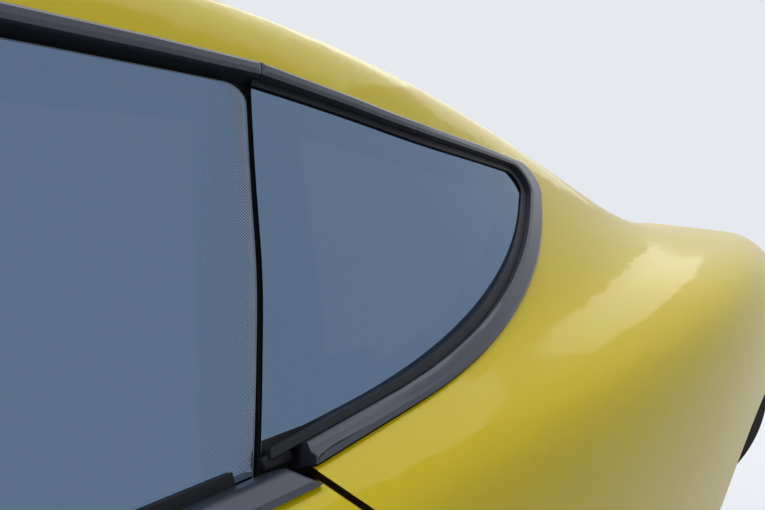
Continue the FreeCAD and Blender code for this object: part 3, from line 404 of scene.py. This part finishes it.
def raise_face(form, slopes):
    """Raise the outward faces from their edges inwards; each slope is a width and a rise."""
    for width, rise in slopes:
        faces = [face for face in form.faces
                 if face.normal.dot(WINDOW_OUT) > MOULDING_OUTWARD and not face.tag]
        result = bmesh.ops.inset_region(form, faces=faces, thickness=width, depth=rise,
                                        use_even_offset=True, use_boundary=True)
        for face in result["faces"]:
            face.tag = True
        form.normal_update()


def round_edges(obj, width, segments):
    """Bevel on a piece's sharp edges."""
    bevel = obj.modifiers.new("Soft edges", "BEVEL")
    bevel.width = width
    bevel.segments = segments
    bevel.limit_method = "ANGLE"
    bevel.angle_limit = ROUNDED_ANGLE
    bevel.harden_normals = True
    bevel.use_clamp_overlap = True


def softened_copy(node, edge=0.0, segments=3, slopes=(), weld=SEAM_WELD):
    """Welded copy of a CAD node, with rounded edges or a raised face, which stands for the node."""
    mesh = NODES[node].data.copy()
    mesh.name = node + " softened"
    obj = bpy.data.objects.new(node + "_soft", mesh)
    bpy.context.scene.collection.objects.link(obj)
    form = bmesh.new()
    form.from_mesh(mesh)
    bmesh.ops.remove_doubles(form, verts=form.verts, dist=weld)
    bmesh.ops.dissolve_degenerate(form, dist=weld, edges=form.edges)
    if slopes:
        bmesh.ops.dissolve_limit(form, angle_limit=FLAT_ANGLE, verts=form.verts, edges=form.edges)
        raise_face(form, slopes)
    form.to_mesh(mesh)
    form.free()
    smooth_by_angle(mesh)
    if edge:
        round_edges(obj, edge, segments)
    even = obj.modifiers.new("Even shading", "WEIGHTED_NORMAL")
    even.mode = "FACE_AREA_WITH_ANGLE"
    even.keep_sharp = True
    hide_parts(node)
    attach(obj, body_of(node))


def add_object(name, form, material, body):
    """Object made from a bmesh, riding on a body."""
    mesh = bpy.data.meshes.new(name)
    bmesh.ops.recalc_face_normals(form, faces=form.faces)
    form.to_mesh(mesh)
    form.free()
    smooth_by_angle(mesh)
    mesh.materials.append(material)
    obj = bpy.data.objects.new(name, mesh)
    bpy.context.scene.collection.objects.link(obj)
    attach(obj, body)


def face_of(node, rise):
    """The outward face of a pane, lifted off it."""
    form = bmesh.new()
    form.from_mesh(NODES[node].data)
    bmesh.ops.remove_doubles(form, verts=form.verts, dist=PANE_WELD)
    others = [face for face in form.faces if face.normal.dot(WINDOW_OUT) < PANE_OUTWARD]
    bmesh.ops.delete(form, geom=others, context="FACES")
    bmesh.ops.translate(form, verts=form.verts, vec=WINDOW_OUT * rise)
    return form


def cut_at(form, place, normal, drop_beyond):
    """Cut a form by a plane and drop the part beyond it, or else the part behind it."""
    geometry = form.verts[:] + form.edges[:] + form.faces[:]
    bmesh.ops.bisect_plane(form, geom=geometry, plane_co=place, plane_no=normal,
                           clear_inner=not drop_beyond, clear_outer=drop_beyond)


def pane_direction():
    """Direction across the door glass, square to the middle of its rear edge."""
    slope = PANE_EDGE_SLOPE + PANE_EDGE_BEND * (2.0 * PANE_MIDDLE)
    return (REARWARD - WINDOW_UP * slope).normalized()


def pane_place(point):
    """Distance behind the rear edge of the door glass, and distance above the belt."""
    up = (point - BELT).dot(WINDOW_UP)
    return point.x - PANE_EDGE_PLACE - PANE_EDGE_SLOPE * up - PANE_EDGE_BEND * up * up, up


# User settings

class FinishSettings(bpy.types.PropertyGroup):
    """Colours and fine sizes of the body side."""
    paint: bpy.props.FloatVectorProperty(
        name="Paint", description="Colour of the body paint", subtype="COLOR", size=3,
        min=0.0, max=1.0, default=(0.86, 0.66, 0.004))
    glass_tint: bpy.props.FloatVectorProperty(
        name="Glass tint", description="Colour of the window glass", subtype="COLOR", size=3,
        min=0.0, max=1.0, default=(0.012, 0.016, 0.022))
    panel_edge: bpy.props.FloatProperty(
        name="Panel edge", description="Rounding of the painted panels' edges",
        default=0.004, min=0.0, unit="LENGTH")
    seal_edge: bpy.props.FloatProperty(
        name="Seal edge", description="Rounding of the edges of the seals and panes",
        default=0.0006, min=0.0, unit="LENGTH")
    handle_edge: bpy.props.FloatProperty(
        name="Handle edge", description="Rounding of the outer handle's edges",
        default=0.0025, min=0.0, unit="LENGTH")
    slope_width: bpy.props.FloatProperty(
        name="Slope width", description="Width of the steeper slope along both edges of a moulding",
        default=0.0045, min=0.0, unit="LENGTH")
    slope_height: bpy.props.FloatProperty(
        name="Slope height", description="Rise of the steeper slope",
        default=0.0022, min=0.0, unit="LENGTH")
    crown_width: bpy.props.FloatProperty(
        name="Crown width", description="Width of the flatter slope up to a moulding's middle",
        default=0.0036, min=0.0, unit="LENGTH")
    crown_height: bpy.props.FloatProperty(
        name="Crown height", description="Rise of the flatter slope",
        default=0.0012, min=0.0, unit="LENGTH")
    dot_pitch: bpy.props.FloatProperty(
        name="Dot pitch", description="Distance between the printed dots of a row",
        default=0.0032, min=0.0001, unit="LENGTH")
    # The pale strip along the door glass's edge is a painted highlight; this sets its width.
    edge_width: bpy.props.FloatProperty(
        name="Edge width", description="Width of the pale strip painted as a highlight along the door glass's edge",
        default=0.0008, min=0.0, unit="LENGTH")
    border_height: bpy.props.FloatProperty(
        name="Border height", description="Top of the quarter glass's black border over the belt",
        default=0.017, min=0.0, unit="LENGTH")


class StageSettings(bpy.types.PropertyGroup):
    """Light and background of the studio."""
    floor_colour: bpy.props.FloatVectorProperty(
        name="Floor", description="Colour of the floor and of the background that meets it",
        subtype="COLOR", size=3, min=0.0, max=1.0, default=(0.80, 0.815, 0.845))
    lamp_power: bpy.props.FloatProperty(
        name="Lamp power", description="Power of the two lamps together",
        default=72.0, min=0.0, unit="POWER")


# Operators for the pieces

class SIDE_OT_finish_nodes(bpy.types.Operator):
    """Give every piece of the body side its finish"""
    bl_idname = "body_side.finish_nodes"
    bl_label = "Finish the pieces"

    def execute(self, context):
        settings = context.scene.body_finish
        made = {"body_paint": body_paint(settings.paint), "tinted_glass": tinted_glass(settings.glass_tint)}
        for slot, build in FINISHES.items():
            made[slot] = build()
        for node, obj in NODES.items():
            obj.data.materials.clear()
            obj.data.materials.append(made[slot_of(node)])
        return {"FINISHED"}


class SIDE_OT_soften_panels(bpy.types.Operator):
    """Round the edges of the painted panels"""
    bl_idname = "body_side.soften_panels"
    bl_label = "Soften the painted panels"

    def execute(self, context):
        for node in PAINTED_PANELS:
            softened_copy(node, context.scene.body_finish.panel_edge, segments=4)
        return {"FINISHED"}


class SIDE_OT_shape_mouldings(bpy.types.Operator):
    """Raise the middle of the satin mouldings"""
    bl_idname = "body_side.shape_mouldings"
    bl_label = "Shape the mouldings"

    def execute(self, context):
        settings = context.scene.body_finish
        slopes = ((settings.slope_width, settings.slope_height),
                  (settings.crown_width, settings.crown_height))
        for node in MOULDINGS:
            softened_copy(node, slopes=slopes, weld=MOULDING_WELD)
        return {"FINISHED"}


class SIDE_OT_soften_seals(bpy.types.Operator):
    """Round the edges of the window seals and the panes"""
    bl_idname = "body_side.soften_seals"
    bl_label = "Soften the seals and panes"

    def execute(self, context):
        for node in SEALS_AND_PANES:
            softened_copy(node, context.scene.body_finish.seal_edge, segments=2)
        return {"FINISHED"}


class SIDE_OT_soften_handle(bpy.types.Operator):
    """Round the edges of the outer door handle"""
    bl_idname = "body_side.soften_handle"
    bl_label = "Soften the outer handle"

    def execute(self, context):
        softened_copy("outer_handle", context.scene.body_finish.handle_edge)
        return {"FINISHED"}


class SIDE_OT_print_dots(bpy.types.Operator):
    """Print the dots along the rear edge of the door glass"""
    bl_idname = "body_side.print_dots"
    bl_label = "Print the dots"

    def execute(self, context):
        form = face_of("door_glass", PRINT_RISE)
        cut_at(form, BELT - REARWARD * DOT_BAND_REACH, pane_direction(), drop_beyond=False)
        cut_at(form, BELT, WINDOW_UP, drop_beyond=False)
        bmesh.ops.subdivide_edges(form, edges=form.edges, cuts=2, use_grid_fill=True)
        layer = form.loops.layers.uv.new("Print")
        for face in form.faces:
            for loop in face.loops:
                loop[layer].uv = pane_place(loop.vert.co)
        dots = printed_dots_and_sheen(context.scene.body_finish.dot_pitch)
        add_object("door_glass_dots", form, dots, "door")
        return {"FINISHED"}


class SIDE_OT_paint_edge_glint(bpy.types.Operator):
    """Lay a pale strip round the face of the door glass, a painted highlight along its edge"""
    bl_idname = "body_side.grind_edge"
    bl_label = "Paint a highlight along the door glass's edge"

    def execute(self, context):
        form = face_of("door_glass", EDGE_GLINT_RISE)
        ring = bmesh.ops.inset_region(form, faces=form.faces,
                                      thickness=context.scene.body_finish.edge_width,
                                      use_boundary=True, use_even_offset=True)["faces"]
        bmesh.ops.delete(form, geom=list(set(form.faces) - set(ring)), context="FACES")
        add_object("door_glass_edge", form, painted_edge_glint(), "door")
        return {"FINISHED"}


class SIDE_OT_print_border(bpy.types.Operator):
    """Print the black border at the foot of the quarter glass"""
    bl_idname = "body_side.print_border"
    bl_label = "Print the border"

    def execute(self, context):
        form = face_of("quarter_glass", PRINT_RISE)
        top = BELT + WINDOW_UP * context.scene.body_finish.border_height
        cut_at(form, top, WINDOW_UP, drop_beyond=True)
        add_object("quarter_glass_border", form, bpy.data.materials["Window rubber"],
                   "body_side")
        return {"FINISHED"}


class SIDE_OT_fill_corner(bpy.types.Operator):
    """Fill the corner under the quarter glass with a small rubber block"""
    bl_idname = "body_side.fill_corner"
    bl_label = "Fill the corner"

    def execute(self, context):
        form = bmesh.new()
        bmesh.ops.create_cube(form, size=1.0)
        bmesh.ops.scale(form, verts=form.verts, vec=CORNER_SIZE)
        bmesh.ops.bevel(form, geom=form.edges, offset=CORNER_EDGE, segments=3, profile=0.5,
                        affect="EDGES", material=-1)
        turn = Matrix((REARWARD, -WINDOW_OUT, WINDOW_UP)).transposed()
        place = BELT + REARWARD * CORNER_STATION - WINDOW_OUT * CORNER_DEPTH
        bmesh.ops.transform(form, matrix=Matrix.Translation(place) @ turn.to_4x4(), verts=form.verts)
        add_object("seal_corner", form, bpy.data.materials["Window rubber"], "body_side")
        return {"FINISHED"}


# Studio

def seen_directly(tree, strength):
    """The strength where a camera, glossy or transmission ray arrives, and nothing elsewhere."""
    path = tree.nodes.new("ShaderNodeLightPath")
    seen = path.outputs["Is Camera Ray"]
    for name in ("Is Glossy Ray", "Is Transmission Ray"):
        seen = math_node(tree, "MAXIMUM", seen, path.outputs[name])
    return math_node(tree, "MULTIPLY", seen, strength)


def build_floor(colour):
    """Wide pale floor that partly glows by itself, so that it looks even."""
    form = bmesh.new()
    bmesh.ops.create_grid(form, x_segments=1, y_segments=1, size=FLOOR_REACH)
    bmesh.ops.translate(form, verts=form.verts, vec=(0.0, 0.0, GROUND))
    mesh = bpy.data.meshes.new("studio_floor")
    form.to_mesh(mesh)
    form.free()
    material, tree, shader = new_material("Studio floor")
    set_inputs(shader, {"Base Color": (*[part * FLOOR_SHARE for part in colour], 1.0), "Roughness": 0.9,
                        "Specular IOR Level": 0.0, "Emission Color": (*colour, 1.0)})
    glow = 1.0 - FLOOR_SHARE * SKY_LIGHT[1]
    tree.links.new(seen_directly(tree, glow), shader.inputs["Emission Strength"])
    mesh.materials.append(material)
    floor = bpy.data.objects.new("studio_floor", mesh)
    bpy.context.scene.collection.objects.link(floor)


def build_world(colour):
    """Soft grey light, with a background behind the object that meets the floor without an edge."""
    world = bpy.data.worlds.new("Studio")
    bpy.context.scene.world = world
    world.use_nodes = True
    tree = world.node_tree
    far = [part * (1.0 + FLOOR_SHARE * (light - SKY_LIGHT[1])) for part, light in zip(colour, SKY_LIGHT)]
    mix = tree.nodes.new("ShaderNodeMix")
    mix.data_type = "RGBA"
    set_inputs(mix, {"A": (*SKY_LIGHT, 1.0), "B": (*far, 1.0)})
    tree.links.new(seen_directly(tree, 1.0), mix.inputs["Factor"])
    tree.links.new(mix.outputs["Result"], tree.nodes["Background"].inputs["Color"])


def build_lamps(power):
    """A large lamp over the roof and a weaker one behind the tail, both inboard of the side."""
    for name, size, place, aim, share in LAMPS:
        lamp = bpy.data.lights.new(name, "AREA")
        lamp.shape = "RECTANGLE"
        lamp.size, lamp.size_y = size
        lamp.energy = power * share
        obj = bpy.data.objects.new(name, lamp)
        obj.location = place
        obj.rotation_euler = (Vector(aim) - Vector(place)).to_track_quat("-Z", "Y").to_euler()
        bpy.context.scene.collection.objects.link(obj)


def build_camera(scene):
    """Camera at the photograph's place, turn and lens."""
    camera = bpy.data.cameras.new("Camera")
    camera.lens = CAMERA_LENS
    camera.sensor_width = SENSOR_WIDTH
    camera.clip_start = CAMERA_NEAR
    obj = bpy.data.objects.new("Camera", camera)
    forward = Vector((math.cos(CAMERA_YAW) * math.cos(CAMERA_PITCH),
                      math.sin(CAMERA_YAW) * math.cos(CAMERA_PITCH), math.sin(CAMERA_PITCH)))
    turn = forward.to_track_quat("-Z", "Y").to_matrix() @ Matrix.Rotation(CAMERA_ROLL, 3, "Z")
    obj.matrix_world = Matrix.Translation(CAMERA_PLACE) @ turn.to_4x4()
    scene.collection.objects.link(obj)
    scene.camera = obj


class SIDE_OT_build_stage(bpy.types.Operator):
    """Build the floor, the soft lamps, the background and the camera"""
    bl_idname = "body_side.build_stage"
    bl_label = "Build the studio"

    def execute(self, context):
        settings = context.scene.body_stage
        build_floor(settings.floor_colour)
        build_world(settings.floor_colour)
        build_lamps(settings.lamp_power)
        build_camera(context.scene)
        context.scene.view_settings.view_transform = "Standard"
        return {"FINISHED"}


STEPS = (
    SIDE_OT_finish_nodes, SIDE_OT_soften_panels, SIDE_OT_shape_mouldings, SIDE_OT_soften_seals,
    SIDE_OT_soften_handle, SIDE_OT_print_dots, SIDE_OT_paint_edge_glint, SIDE_OT_print_border,
    SIDE_OT_fill_corner, SIDE_OT_build_stage,
)


class SIDE_PT_panel(bpy.types.Panel):
    """Sidebar panel with the settings and the steps in their order"""
    bl_idname = "SIDE_PT_panel"
    bl_label = "Body Side"
    bl_space_type = "VIEW_3D"
    bl_region_type = "UI"
    bl_category = "Body Side"

    def draw(self, context):
        for settings in (context.scene.body_finish, context.scene.body_stage):
            for name in settings.__annotations__:
                self.layout.prop(settings, name)
        for step in STEPS:
            self.layout.operator(step.bl_idname)


CLASSES = (FinishSettings, StageSettings) + STEPS + (SIDE_PT_panel,)


def register():
    """Register the classes and hang the settings on the scene."""
    for entry in CLASSES:
        bpy.utils.register_class(entry)
    bpy.types.Scene.body_finish = bpy.props.PointerProperty(type=FinishSettings)
    bpy.types.Scene.body_stage = bpy.props.PointerProperty(type=StageSettings)


def unregister():
    """Undo what register did."""
    del bpy.types.Scene.body_finish
    del bpy.types.Scene.body_stage
    for entry in reversed(CLASSES):
        bpy.utils.unregister_class(entry)


def main():
    """Run all steps."""
    register()
    for step in STEPS:
        group, name = step.bl_idname.split(".")
        getattr(getattr(bpy.ops, group), name)()


if __name__ == "__main__":
    main()
